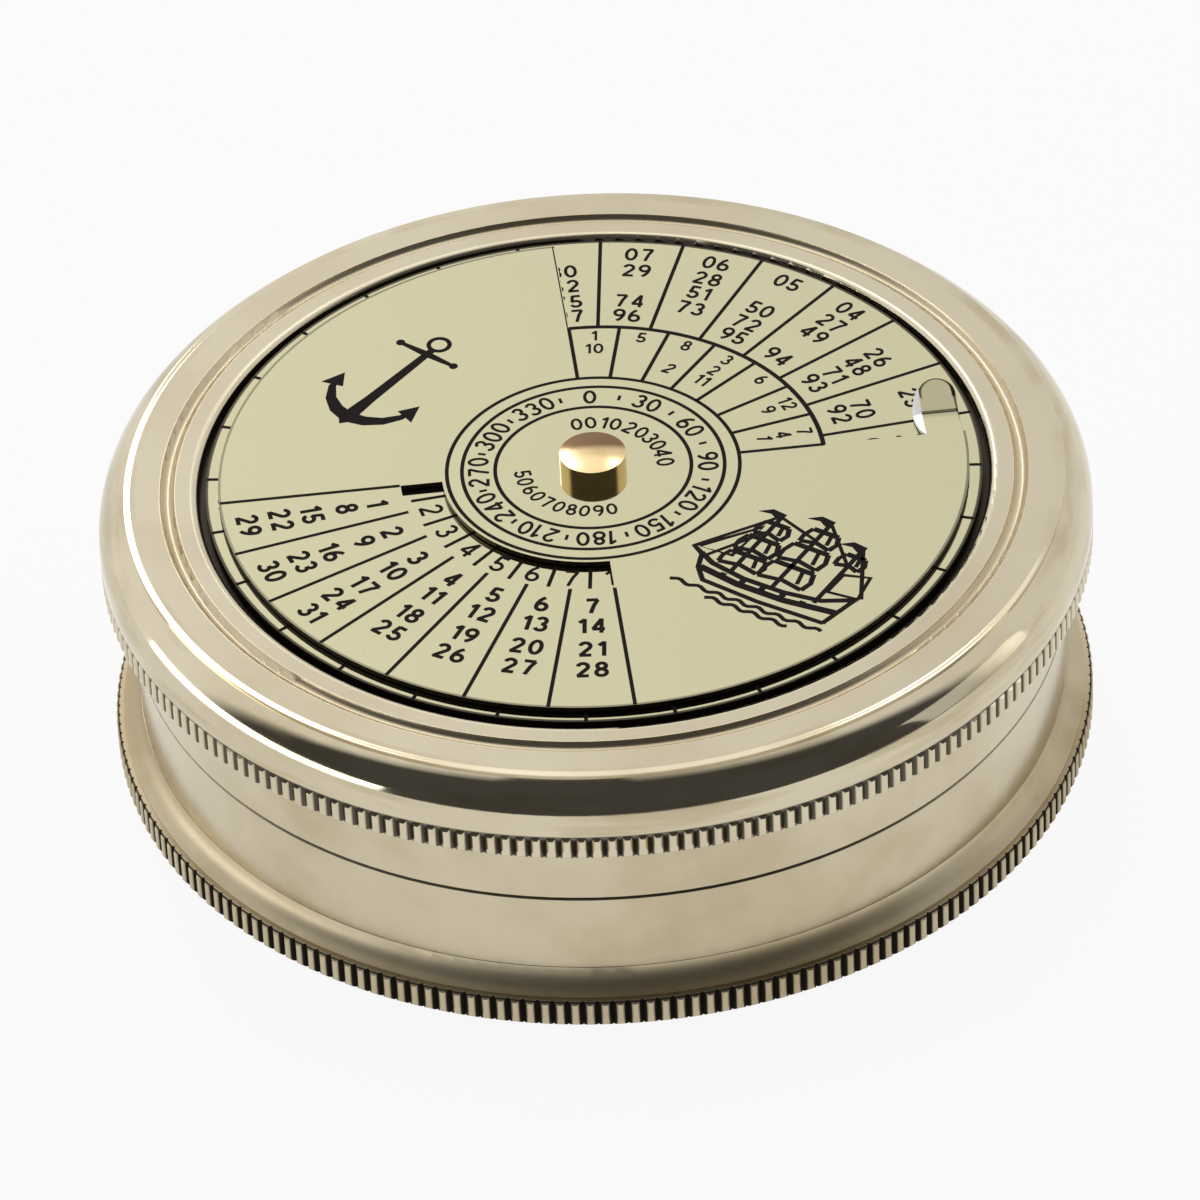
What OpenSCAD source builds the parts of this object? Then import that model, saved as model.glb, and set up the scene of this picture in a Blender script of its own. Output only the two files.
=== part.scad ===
// Calendar compass: a round two-part case with a screw lid. A perpetual calendar turns on
// the lid, and a magnetic compass under glass sits in the base.
// Origin: centre of the foot's resting face, +Z up. The dial reads upright from -Y.

/* [Case] */
// Radius of the plain outer wall of the base and of the lid's skirt
wall_r = 36; // [35.5:0.1:42]
// How far the foot and the lid's bead stand out past the wall
flange_out = 2.1; // [1.5:0.1:3]
// Height of the parting line between base and lid above the desk
parting_z = 10.8; // [10:0.1:15]
// Height of the lid's flat top above the parting line
lid_h = 11.9; // [11.5:0.1:16]
// Height of the knurled foot rim
foot_h = 2.35; // [1.8:0.05:3]
// Height of the knurled ring under the lid's bead
lid_knurl_h = 2; // [1.4:0.1:2.5]
// Height of the lid's knurled ring above the parting line, to its lower edge
lid_knurl_up = 5.6; // [5.2:0.1:6.2]
// Radius of the bead's rounded edge
bead_round = 3.2; // [2:0.1:3.3]
// Teeth round each knurled ring
knurl_teeth = 212; // [120:4:240]
// Depth of the knurl
knurl_depth = 0.38; // [0.2:0.02:0.5]
// Edge break along the parting line
edge_break = 0.15; // [0.1:0.05:0.3]

/* [Base inside] */
// Depth of the turned recess under the foot
under_recess = 0.5; // [0.3:0.1:0.8]
// Width of the flat ring that the foot rests on
rest_ring_w = 4; // [2.5:0.5:5]
// Thickness of the base's floor
floor_t = 1.9; // [1.4:0.1:2.6]
// Wall of the threaded spigot
spigot_wall = 1.9; // [1.4:0.1:2.6]
// Height of the threaded spigot above the parting line
spigot_h = 4.2; // [3.6:0.1:5]
// How far the bezel ring's top sits below the spigot's top
rim_drop = 1.1; // [0.6:0.1:1.6]
// Thickness of the compass card
card_t = 0.6; // [0.4:0.1:1]
// Screws that hold the compass card down
card_screw_count = 3; // [2:1:6]
// Radius of the card screws' shanks
card_screw_r = 0.5; // [0.4:0.1:0.7]
// Distance from the spacer ring to the card screws' heads
card_screw_in = 0.6; // [0.4:0.1:2]
// Thickness of the glass
glass_t = 2; // [1.5:0.1:2.4]
// Thickness of the glass gasket
gasket_t = 0.4; // [0.2:0.1:0.6]
// Height of the bezel ring
bezel_h = 0.9; // [0.6:0.1:1.2]
// Width of the spacer ring, of the gasket and of the bezel ring's lip
ring_w = 1.9; // [1.2:0.1:3]

/* [Screw thread] */
// Rise of the lid in one turn
thread_lead = 3; // [2.6:0.1:3.4]
// Number of thread starts
thread_starts = 2; // [2:1:2]
// Height of a thread ridge
thread_depth = 0.75; // [0.5:0.05:0.8]
// Radial clearance from a ridge's crest to the facing wall
thread_gap = 0.15; // [0.12:0.01:0.25]
// Wall of the lid's skirt behind the thread
skirt_wall = 2.2; // [1.6:0.1:2.4]

/* [Lid top] */
// Radius of the calendar disc
disc_r = 28.7; // [26:0.1:29]
// Thickness of the calendar disc
disc_t = 0.4; // [0.3:0.05:0.9]
// How far the year plate's rim shows past the calendar disc
year_lip = 1; // [0.6:0.1:1.3]
// Thickness of the year plate
year_plate_t = 0.8; // [0.5:0.1:1.2]
// Gap round the year plate in its recess
plate_gap = 0.5; // [0.2:0.1:0.6]
// Width of the flat ring between the recess and the turned groove
inner_ring_w = 1.9; // [1.4:0.1:2.1]
// Rounding of the recess's upper edge
lip_round = 0.6; // [0.3:0.1:0.8]
// Width of the turned groove in the lid's top
groove_w = 1.1; // [0.7:0.1:1.3]
// Small step down from the lid's outer flat ring to the bead
bead_step = 0.12; // [0.06:0.02:0.2]
// Thickness of the lid's top under the year plate
ceiling_t = 1.4; // [1:0.1:1.8]
// Radius of the two pins that keep the year plate from turning
plate_pin_r = 0.6; // [0.4:0.1:0.8]

/* [Calendar disc] */
// Turn of the calendar disc's first window edge from the +X axis, in degrees
disc_turn = 4.4; // [0:0.1:20]
// Angle that the year window, the weekday window and the date sector each span
sector = 90; // [80:1:90]
// Outer radius of the month ring, where the year window starts
month_r = 17.9; // [16:0.1:19]
// Inner radius of the weekday window
weekday_in_r = 11.6; // [11.2:0.1:12.4]
// Outer radius of the weekday window
weekday_out_r = 14.8; // [14:0.1:15.6]
// Width of the finger tab
tab_w = 2.9; // [2.4:0.1:3.6]
// Length of the finger tab's flat root
tab_root = 2.6; // [1.8:0.1:3.4]
// Length of the finger tab's raised end
tab_end = 3.1; // [2:0.1:3.2]
// Angle at which the finger tab's end is bent up
tab_tilt = 24; // [20:1:40]
// How far the finger tab's pressed inner edge bulges at the bend
tab_edge_w = 0.6; // [0.4:0.1:1]
// Radius of the pressed edge's rounding
tab_edge_r = 1.2; // [1.1:0.1:1.6]
// Distance from the disc's rim to the finger tab's outer side
tab_in = 0.2; // [0.1:0.1:1]

/* [Centre stud] */
// Radius of the stud's head
head_r = 2.55; // [2.2:0.05:3.4]
// Height of the straight side of the stud's head
head_h = 1.4; // [0.9:0.05:1.8]
// Rise of the head's dome
dome_h = 0.2; // [0.1:0.05:0.8]
// Radius of the stud's shank
shank_r = 1.2; // [1:0.1:1.4]
// Thickness of the washer under the calendar disc
disc_washer_t = 0.1; // [0.1:0.05:0.3]
// Radius of the washer under the calendar disc
disc_washer_r = 8; // [5:0.5:10]
// Radius of the washers under the lid's top
washer_r = 3; // [2.6:0.1:3.4]
// Thickness of the spring washer's sheet
spring_t = 0.25; // [0.2:0.05:0.3]
// Height of the spring washer's cone
spring_cone = 0.3; // [0.2:0.05:0.4]
// Thickness of the flat washer
back_washer_t = 0.35; // [0.25:0.05:0.5]
// Thickness of the nut
nut_t = 0.95; // [0.8:0.05:1.1]
// Width of the nut across its flats
nut_flats = 4.6; // [4.2:0.1:5]

/* [Needle] */
// Radius that the needle's tips sweep
needle_r = 24; // [18:0.5:26]
// Width of the needle at its middle
needle_w = 5.4; // [4.4:0.2:7]
// Thickness of the needle
needle_t = 0.4; // [0.3:0.05:0.5]
// Radius of the brass hub
hub_r = 2; // [1.8:0.1:2.1]
// Radius of the pivot pin
pin_r = 0.4; // [0.3:0.05:0.5]
// Radius of the pivot post
post_r = 1.5; // [1.2:0.1:1.8]
// Radius of the pivot post's flange on the card
post_flange_r = 2.6; // [2.3:0.1:4]
// Distance from the pivot to the balance weight
weight_at = 13; // [8:0.5:16]
// Length of the balance weight along the needle
weight_len = 1.6; // [1:0.1:2.4]
// Thickness of the balance weight's sheet
weight_t = 0.4; // [0.3:0.05:0.6]
// Gap from the hub's crown to the glass
hub_gap = 1.4; // [1:0.1:2]

/* [Fits] */
// Radial clearance of the calendar disc on the stud
run_gap = 0.05; // [0.03:0.01:0.08]
// Radial clearance of pieces that are held still
hold_gap = 0.05; // [0.03:0.01:0.1]
// Clearance of the jewel on the pin's point
point_gap = 0.03; // [0.02:0.01:0.05]

/* [Hidden] */
$fn = 128;

// Overlap that makes a cut run clean through a face
cut = 0.5;
flange_r = wall_r + flange_out;
top_z = parting_z + lid_h;

// Base, from the desk up
floor_z = under_recess + floor_t;
lid_bore_r = wall_r - skirt_wall;
spigot_r = lid_bore_r - thread_gap - thread_depth;
bore_r = spigot_r - spigot_wall;
spigot_z = parting_z + spigot_h;
bezel_z = spigot_z - rim_drop - bezel_h;
glass_z = bezel_z - glass_t;
gasket_z = glass_z - gasket_t;
card_top = floor_z + card_t;
held_r = bore_r - hold_gap;
clear_r = held_r - ring_w;
card_head_r = card_screw_r * 1.8;
card_head_t = card_screw_r * 0.9;
card_screw_at = clear_r - card_screw_in - card_head_r;
card_screw_sink = floor_t / 2;

// Lid, from the top down
year_r = disc_r + year_lip;
recess_r = year_r + plate_gap;
groove_in = recess_r + inner_ring_w;
disc_z = top_z;
year_top = disc_z - disc_washer_t;
recess_z = year_top - year_plate_t;
ceiling_z = recess_z - ceiling_t;
knurl_z = parting_z + lid_knurl_up;
bead_z = knurl_z + lid_knurl_h;
bead_groove = 0.2;
bead_flat_r = flange_r - bead_round;
bead_centre_z = top_z - bead_step - bead_round;
bead_side = bead_centre_z - bead_z - bead_groove;

// Groove profile: an arc as deep as a third of its width
groove_depth = groove_w / 3;
groove_round = (groove_w * groove_w / 4 + groove_depth * groove_depth) / (2 * groove_depth);

// Stud stack under the lid's top
stud_hole_r = shank_r + hold_gap;
spring_z = ceiling_z - spring_t - spring_cone;
back_washer_z = spring_z - back_washer_t;
nut_z = back_washer_z - nut_t;
stud_end = 0.15;
plate_pin_at = (disc_washer_r + weekday_in_r) / 2;
plate_pin_sink = ceiling_t / 2;

// Needle, hung from the glass down
hub_crown = 0.35;
jewel_r = hub_r / 2;
jewel_h = hub_r * 0.6;
hub_top = glass_z - hub_gap;
jewel_top = hub_top - hub_crown;
cup_depth = jewel_h * 0.6;
point_z = jewel_top - jewel_h + cup_depth - point_gap;
hub_skirt = 0.3;
needle_z = jewel_top - jewel_h + hub_skirt;
post_top = card_top + post_r;
post_flange_t = 0.5;
post_sink = floor_t / 2;

knurl_bury = 0.6;
flare_bury = 0.5;
knurl_break = 0.27;
knurl_core_r = flange_r - knurl_depth - 0.2;

// One tooth takes three points: both ends of its crest and the valley after it
function knurl_points(r) = [
  for (i = [0:knurl_teeth - 1])
  for (p = [[-0.14, r], [0.14, r], [0.5, r - knurl_depth]])
  let (a = 360 * (i + p[0]) / knurl_teeth) [p[1] * cos(a), p[1] * sin(a)]
];

// A knurled ring from z up, with the ends of its teeth broken at 45 degrees. Its inner side
// is buried in the wall.
module knurled_ring(z, h) {
  translate([0, 0, z])
  intersection() {
    linear_extrude(h) polygon(knurl_points(flange_r));
    rotate_extrude()
    polygon([
      [wall_r - knurl_bury, 0], [flange_r - knurl_break, 0], [flange_r + 0.01, knurl_break],
      [flange_r + 0.01, h - knurl_break], [flange_r - knurl_break, h], [wall_r - knurl_bury, h]
    ]);
  }
}

// Points of one helical thread ridge. side is 1 for a ridge that stands outwards and -1
// for one that stands inwards. z_low and z_high bound the ridge's middle line.
thread_pitch = thread_lead / thread_starts;
ridge_root = thread_pitch / 3;
ridge_crest = thread_pitch / 7.5;
ridge_bury = 0.3;
turn_steps = 60;
ramp_steps = 5;
function ridge_section(i, steps, r, side, z) =
  let (
    a = 360 * i / turn_steps,
    fade = min(1, min(i, steps - i) / ramp_steps),
    out = side * thread_depth * max(fade, 0.08),
    root = ridge_root * max(fade, 0.3),
    crest = ridge_crest * max(fade, 0.3)
  )
  [
    for (p = [[-side * ridge_bury, -root], [out, -crest], [out, crest], [-side * ridge_bury, root]])
    [(r + p[0]) * cos(a), (r + p[0]) * sin(a), z + p[1]]
  ];

module thread_ridge(r, side, z_low, z_high) {
  steps = floor((z_high - z_low) / thread_lead * turn_steps);
  points = [
    for (i = [0:steps])
    for (p = ridge_section(i, steps, r, side, z_low + thread_lead * i / turn_steps)) p
  ];
  walls = [
    for (i = [0:steps - 1])
    for (k = [0:3])
    let (a = 4 * i + k, b = 4 * i + (k + 1) % 4)
    for (f = side > 0 ? [[a, b, a + 4], [b, b + 4, a + 4]] : [[a, a + 4, b], [b, a + 4, b + 4]]) f
  ];
  last = 4 * steps;
  ends = side > 0
    ? [[0, 3, 2], [0, 2, 1], [last, last + 1, last + 2], [last, last + 2, last + 3]]
    : [[0, 2, 3], [0, 1, 2], [last, last + 2, last + 1], [last, last + 3, last + 2]];
  polyhedron(points, concat(walls, ends), convexity = 6);
}

// All the starts of a thread
module thread(r, side, z_low, z_high) {
  for (s = [0:thread_starts - 1])
  rotate([0, 0, 360 * s / thread_starts])
  thread_ridge(r, side, z_low, z_high);
}

// Lowest middle line of a ridge, just above the parting line
thread_low = parting_z + ridge_root + 0.15;
male_high = spigot_z - ridge_root - 0.1;
female_low = thread_low + thread_pitch / 2;
female_high = male_high + thread_pitch / 2;

module base_shell() {
  color("#b9ae8e")
  union() {
    difference() {
      rotate_extrude()
      union() {
        difference() {
          union() {
            translate([0, foot_h - flare_bury]) square([knurl_core_r, flange_out + flare_bury - knurl_depth]);
            square([wall_r, parting_z]);
          }
          translate([wall_r + flange_out, foot_h + flange_out]) circle(flange_out);
          translate([wall_r, parting_z]) rotate(45) square(edge_break * sqrt(2), center = true);
          translate([-1, -1]) square([flange_r + 1 - rest_ring_w, under_recess + 1]);
        }
        translate([0, parting_z - 1]) square([spigot_r, spigot_h + 1 - edge_break]);
        translate([0, spigot_z - edge_break]) square([spigot_r - edge_break, edge_break]);
      }
      translate([0, 0, floor_z]) cylinder(h = spigot_z, r = bore_r);
      translate([0, 0, floor_z - post_sink]) cylinder(h = floor_t, r = post_r + hold_gap);
      at_card_screws() translate([0, 0, floor_z - card_screw_sink]) cylinder(h = floor_t, r = card_screw_r);
    }
    knurled_ring(0, foot_h);
    thread(spigot_r, 1, thread_low, male_high);
  }
}

// Sets its children at each card screw's place
module at_card_screws() {
  for (i = [0:card_screw_count - 1])
  rotate([0, 0, 360 * (i + 0.5) / card_screw_count + 90])
  translate([card_screw_at, 0, 0]) children();
}

module compass_card() {
  color("#d9cf9e")
  difference() {
    translate([0, 0, floor_z]) cylinder(h = card_t, r = held_r);
    translate([0, 0, floor_z - cut]) cylinder(h = card_t + 2 * cut, r = post_r + hold_gap);
    at_card_screws()
    translate([0, 0, floor_z - cut]) cylinder(h = card_t + 2 * cut, r = card_screw_r + hold_gap);
  }
}

module card_screws() {
  color("#c49a3c")
  at_card_screws()
  difference() {
    union() {
      translate([0, 0, floor_z - card_screw_sink])
      cylinder(h = card_t + card_screw_sink, r = card_screw_r);
      translate([0, 0, card_top]) cylinder(h = card_head_t, r = card_head_r);
    }
    translate([-card_head_r - cut, -card_head_r / 6, card_top + card_head_t / 2])
    cube([2 * (card_head_r + cut), card_head_r / 3, card_head_t]);
  }
}

module pivot_post() {
  color("#b8923f")
  difference() {
    union() {
      translate([0, 0, floor_z - post_sink]) cylinder(h = post_top - floor_z + post_sink, r = post_r);
      translate([0, 0, card_top]) cylinder(h = post_flange_t, r = post_flange_r);
    }
    translate([0, 0, card_top - post_flange_t]) cylinder(h = post_top, r = pin_r);
  }
}

module pivot_pin() {
  tip = pin_r * 2.5;
  color("#8f9296") {
    rotate_extrude()
    polygon([
      [0, card_top - post_flange_t], [pin_r, card_top - post_flange_t],
      [pin_r, point_z - tip], [0, point_z]
    ]);
  }
}

module held_ring(z, h, r_in) {
  difference() {
    translate([0, 0, z]) cylinder(h = h, r = held_r);
    translate([0, 0, z - cut]) cylinder(h = h + 2 * cut, r = r_in);
  }
}

module spacer_ring() {
  color("#b9ae8e") held_ring(card_top, gasket_z - card_top, clear_r);
}

module glass_gasket() {
  color("#26241f") held_ring(gasket_z, gasket_t, clear_r);
}

module glass() {
  color("#dfeeee", 0.35) translate([0, 0, glass_z]) cylinder(h = glass_t, r = held_r);
}

// The bezel ring is pressed into the bore, and its lip slopes down to the glass
module bezel_ring() {
  color("#b9ae8e")
  rotate_extrude()
  polygon([
    [clear_r, bezel_z], [bore_r, bezel_z], [bore_r, bezel_z + bezel_h],
    [bore_r - ring_w / 2, bezel_z + bezel_h], [clear_r, bezel_z + bezel_h / 3]
  ]);
}

// Outline of the needle, which keeps its full width as far as the hub needs
needle_waist = hub_r * 1.5;
module needle_outline() {
  polygon([
    [0, needle_r], [-needle_w / 2, needle_waist], [-needle_w / 2, -needle_waist],
    [0, -needle_r], [needle_w / 2, -needle_waist], [needle_w / 2, needle_waist]
  ]);
}

module needle_bar() {
  color("#3b4a78")
  translate([0, 0, needle_z])
  linear_extrude(needle_t)
  difference() {
    needle_outline();
    circle(hub_r * 0.8);
  }
}

// A brass clip folded round the needle's south arm, to balance its dip
module needle_weight() {
  width = needle_w * (needle_r - weight_at + weight_len / 2) / (needle_r - needle_waist);
  color("#b8923f")
  difference() {
    translate([-width / 2 - weight_t, -weight_at - weight_len / 2, needle_z - weight_t])
    cube([width + 2 * weight_t, weight_len, needle_t + 2 * weight_t]);
    translate([0, 0, needle_z]) linear_extrude(needle_t) needle_outline();
  }
}

module needle_hub() {
  low = needle_z - hub_skirt;
  color("#b8923f")
  difference() {
    rotate_extrude()
    difference() {
      union() {
        translate([0, low]) square([hub_r * 0.8, hub_top - low]);
        translate([0, needle_z + needle_t]) square([hub_r, hub_top - needle_z - needle_t]);
      }
      translate([hub_r, hub_top]) rotate(45) square(hub_crown * sqrt(2), center = true);
    }
    translate([0, 0, low - cut]) cylinder(h = jewel_top - low + cut, r = jewel_r);
  }
}

// The jewel's cone sits over the pin's point
module jewel_cup() {
  low = jewel_top - jewel_h;
  mouth = cup_depth / 2.5 + pin_r + run_gap;
  color("#8c2338")
  rotate_extrude()
  polygon([
    [0, jewel_top], [jewel_r, jewel_top], [jewel_r, low],
    [min(mouth, jewel_r - 0.1), low], [0, low + cup_depth]
  ]);
}

module lid_shell() {
  corner = 2;
  color("#c2b896")
  union() {
    difference() {
      rotate_extrude()
      difference() {
        union() {
          translate([0, parting_z]) square([wall_r, lid_h]);
          translate([0, bead_z - flare_bury]) square([knurl_core_r, flare_bury + bead_groove + cut]);
          translate([0, bead_z + bead_groove]) square([flange_r, bead_side]);
          translate([0, bead_centre_z]) square([bead_flat_r, top_z - bead_centre_z]);
          translate([bead_flat_r, bead_centre_z]) circle(bead_round);
        }
        translate([wall_r, parting_z]) rotate(45) square(edge_break * sqrt(2), center = true);
        translate([groove_in + groove_w / 2, top_z + groove_round - groove_depth]) circle(groove_round);
        translate([-1, recess_z]) square([recess_r + 1, lid_h]);
        difference() {
          translate([recess_r - 1, top_z - lip_round]) square([lip_round + 1, lip_round + 1]);
          translate([recess_r + lip_round, top_z - lip_round]) circle(lip_round);
        }
      }
      rotate_extrude()
      difference() {
        translate([0, parting_z - 1]) square([lid_bore_r, ceiling_z - parting_z + 1]);
        difference() {
          translate([lid_bore_r - corner, ceiling_z - corner]) square([corner + 1, corner + 1]);
          translate([lid_bore_r - corner, ceiling_z - corner]) circle(corner);
        }
      }
      translate([0, 0, ceiling_z - cut]) cylinder(h = ceiling_t + 2 * cut, r = stud_hole_r);
      at_plate_pins() translate([0, 0, recess_z - plate_pin_sink]) cylinder(h = ceiling_t, r = plate_pin_r);
    }
    knurled_ring(knurl_z, lid_knurl_h);
    thread(lid_bore_r, -1, female_low, female_high);
  }
}

// Sets its children at each of the year plate's two pins
module at_plate_pins() {
  for (a = [0, 180])
  rotate([0, 0, a]) translate([plate_pin_at, 0, 0]) children();
}

module year_plate() {
  color("#d2c896")
  difference() {
    translate([0, 0, recess_z]) cylinder(h = year_plate_t, r = year_r);
    translate([0, 0, recess_z - cut]) cylinder(h = year_plate_t + 2 * cut, r = stud_hole_r);
    at_plate_pins() translate([0, 0, recess_z - cut]) cylinder(h = year_plate_t + 2 * cut, r = plate_pin_r);
  }
}

module plate_pins() {
  color("#b8923f")
  at_plate_pins()
  translate([0, 0, recess_z - plate_pin_sink]) cylinder(h = year_plate_t + plate_pin_sink, r = plate_pin_r);
}

module flat_washer(z, h, r) {
  difference() {
    translate([0, 0, z]) cylinder(h = h, r = r);
    translate([0, 0, z - cut]) cylinder(h = h + 2 * cut, r = stud_hole_r);
  }
}

module disc_washer() {
  color("#3b3226") flat_washer(year_top, disc_washer_t, disc_washer_r);
}

// A cutter from angle 0 to the sector's angle, between two radii
module window_cut(r_in, r_out) {
  rotate_extrude(angle = sector) translate([r_in, -cut]) square([r_out - r_in, disc_t + 2 * cut]);
}

// Half of the tab's pressed inner edge, from the bend at y = 0 along +Y. Its outline is an
// arc that bulges most at the bend, and its top is rounded down to the year plate.
module tab_edge(run) {
  arc_r = (run * run + tab_edge_w * tab_edge_w) / (2 * tab_edge_w);
  bury = tab_w / 4;
  intersection() {
    translate([arc_r - tab_edge_w, 0, 0]) cylinder(h = disc_t, r = arc_r);
    translate([0, -cut, disc_t - tab_edge_r]) rotate([-90, 0, 0]) cylinder(h = run + cut, r = tab_edge_r);
    translate([-tab_edge_w - cut, 0, 0]) cube([tab_edge_w + cut + bury, run, disc_t]);
  }
}

// The tab grows out of the year window's first edge and its round end is bent up
module finger_tab() {
  tab_r = disc_r - tab_in - tab_w / 2;
  end_flat = tab_end - tab_w / 2;
  translate([tab_r, 0, 0]) {
    translate([-tab_w / 2, -1, 0]) cube([tab_w, tab_root + 1, disc_t]);
    translate([-tab_w / 2, tab_root, 0]) mirror([0, 1, 0]) tab_edge(tab_root);
    translate([0, tab_root, 0])
    rotate([tab_tilt, 0, 0]) {
      translate([-tab_w / 2, 0, 0]) cube([tab_w, end_flat, disc_t]);
      translate([0, end_flat, 0]) cylinder(h = disc_t, r = tab_w / 2);
      translate([-tab_w / 2, 0, 0]) tab_edge(end_flat + tab_w / 4);
    }
  }
}

module calendar_disc() {
  color("#cfc594")
  rotate([0, 0, disc_turn])
  translate([0, 0, disc_z])
  union() {
    difference() {
      cylinder(h = disc_t, r = disc_r);
      window_cut(month_r, disc_r + 1);
      rotate([0, 0, 180]) window_cut(weekday_in_r, weekday_out_r);
      translate([0, 0, -cut]) cylinder(h = disc_t + 2 * cut, r = shank_r + run_gap);
    }
    finger_tab();
  }
}

module centre_stud() {
  dome_r = (head_r * head_r + dome_h * dome_h) / (2 * dome_h);
  head_z = disc_z + disc_t;
  color("#c49a3c")
  rotate_extrude()
  union() {
    translate([0, nut_z - stud_end]) square([shank_r, head_z - nut_z + stud_end + head_h / 2]);
    translate([0, head_z]) square([head_r, head_h]);
    intersection() {
      translate([0, head_z]) square([head_r, head_h + dome_h + 1]);
      translate([0, head_z + head_h + dome_h - dome_r]) circle(dome_r);
    }
  }
}

module spring_washer() {
  color("#8f9296")
  rotate_extrude()
  polygon([
    [stud_hole_r, spring_z + spring_cone], [washer_r, spring_z],
    [washer_r, spring_z + spring_t], [stud_hole_r, spring_z + spring_cone + spring_t]
  ]);
}

module back_washer() {
  color("#b8923f") flat_washer(back_washer_z, back_washer_t, washer_r);
}

module stud_nut() {
  color("#b8923f")
  difference() {
    translate([0, 0, nut_z]) cylinder(h = nut_t, r = nut_flats / sqrt(3), $fn = 6);
    translate([0, 0, nut_z - cut]) cylinder(h = nut_t + 2 * cut, r = shank_r);
  }
}

base_shell();
compass_card();
pivot_post();
pivot_pin();
spacer_ring();
glass_gasket();
glass();
bezel_ring();
card_screws();
needle_bar();
needle_hub();
jewel_cup();
needle_weight();
lid_shell();
year_plate();
plate_pins();
disc_washer();
calendar_disc();
centre_stud();
spring_washer();
back_washer();
stud_nut();
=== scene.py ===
"""A round brass calendar compass: the looks of its case, its printed dials and its needle."""

import math

import bmesh
import bpy
from bpy.props import FloatProperty, FloatVectorProperty, PointerProperty
from mathutils import Matrix, Quaternion, Vector


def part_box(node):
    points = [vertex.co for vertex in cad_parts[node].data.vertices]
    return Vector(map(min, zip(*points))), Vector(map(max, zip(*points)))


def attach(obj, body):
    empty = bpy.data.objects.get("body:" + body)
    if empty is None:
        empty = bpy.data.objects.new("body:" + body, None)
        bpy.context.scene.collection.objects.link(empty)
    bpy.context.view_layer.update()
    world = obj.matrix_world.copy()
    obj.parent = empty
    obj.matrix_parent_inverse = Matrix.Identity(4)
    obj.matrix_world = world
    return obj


bl_info = {
    "name": "Calendar Compass",
    "version": (1, 0, 0),
    "blender": (4, 5, 0),
    "location": "3D View > Sidebar > Compass",
    "description": "Dresses a screw-lid calendar compass with metal finishes and printed dials",
    "category": "Object",
}

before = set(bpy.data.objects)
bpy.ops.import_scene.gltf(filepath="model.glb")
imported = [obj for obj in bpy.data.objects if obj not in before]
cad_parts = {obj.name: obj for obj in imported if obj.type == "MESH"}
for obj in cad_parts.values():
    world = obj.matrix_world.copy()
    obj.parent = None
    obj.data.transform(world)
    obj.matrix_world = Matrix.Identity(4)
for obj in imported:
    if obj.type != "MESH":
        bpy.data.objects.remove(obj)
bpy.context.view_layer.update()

MM = 0.001
FULL_TURN = 360.0
WEEKDAYS = 7
COLUMNS = 4 * WEEKDAYS
COLUMN = FULL_TURN / COLUMNS
# The angle of the disc's windows, and from +X to the first edge of the year window
SECTOR = 90.0
DISC_TURN = 4.4
# Left bare between a print and the edge of its plate
EDGE = 0.05 * MM
# The bodies that the prints ride on
DIAL = "calendar"
LID = "lid"
BASE = "base"


def highest(node, within):
    """The highest point of a CAD node inside a radius, as on a disc with a raised tab."""
    points = (v.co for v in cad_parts[node].data.vertices)
    return max(p.z for p in points if math.hypot(p.x, p.y) < within)


def radius_of(node):
    """The outer radius of a round CAD node."""
    return max(math.hypot(v.co.x, v.co.y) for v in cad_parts[node].data.vertices)


DISC_TOP = highest("calendar_disc", 20 * MM)
YEAR_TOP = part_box("year_plate")[1].z
CARD_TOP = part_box("compass_card")[1].z
CASE_R = radius_of("lid_shell")
DISC_R = -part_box("calendar_disc")[0].x
YEAR_R = radius_of("year_plate")
CARD_R = -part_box("compass_card")[0].x
PARTING_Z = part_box("lid_shell")[0].z
LID_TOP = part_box("lid_shell")[1].z
# Radii and heights that no box of a piece gives
WALL_R = 36.0 * MM
FOOT_TOP = 2.35 * MM
KNURL_LOW = PARTING_Z + 5.6 * MM
KNURL_TOP = KNURL_LOW + 2.0 * MM
RECESS_R = 30.4 * MM
GROOVE_IN = 32.1 * MM
GROOVE_OUT = 33.2 * MM
# The finger tab: from the centre to its face, from the window's edge to its bend, and its rounded end
TAB_FACE = 25.7 * MM
TAB_BEND = 2.6 * MM
TAB_TIP = (27.05 * MM, 4.1 * MM)


def size(name, default, description):
    """A length in metres that a user may change."""
    return FloatProperty(name=name, description=description, default=default, unit="LENGTH", precision=5)


def angle(name, degrees, description):
    """An angle that a user may change."""
    return FloatProperty(name=name, description=description, default=math.radians(degrees),
                         subtype="ANGLE", unit="ROTATION")


def colour(name, default, description):
    """A linear colour that a user may change."""
    return FloatVectorProperty(name=name, description=description, default=default, size=3,
                               subtype="COLOR", min=0.0, max=1.0)


def share(name, default, description):
    """A number from 0 to 1 that a user may change."""
    return FloatProperty(name=name, description=description, default=default, min=0.0, max=1.0)


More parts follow.
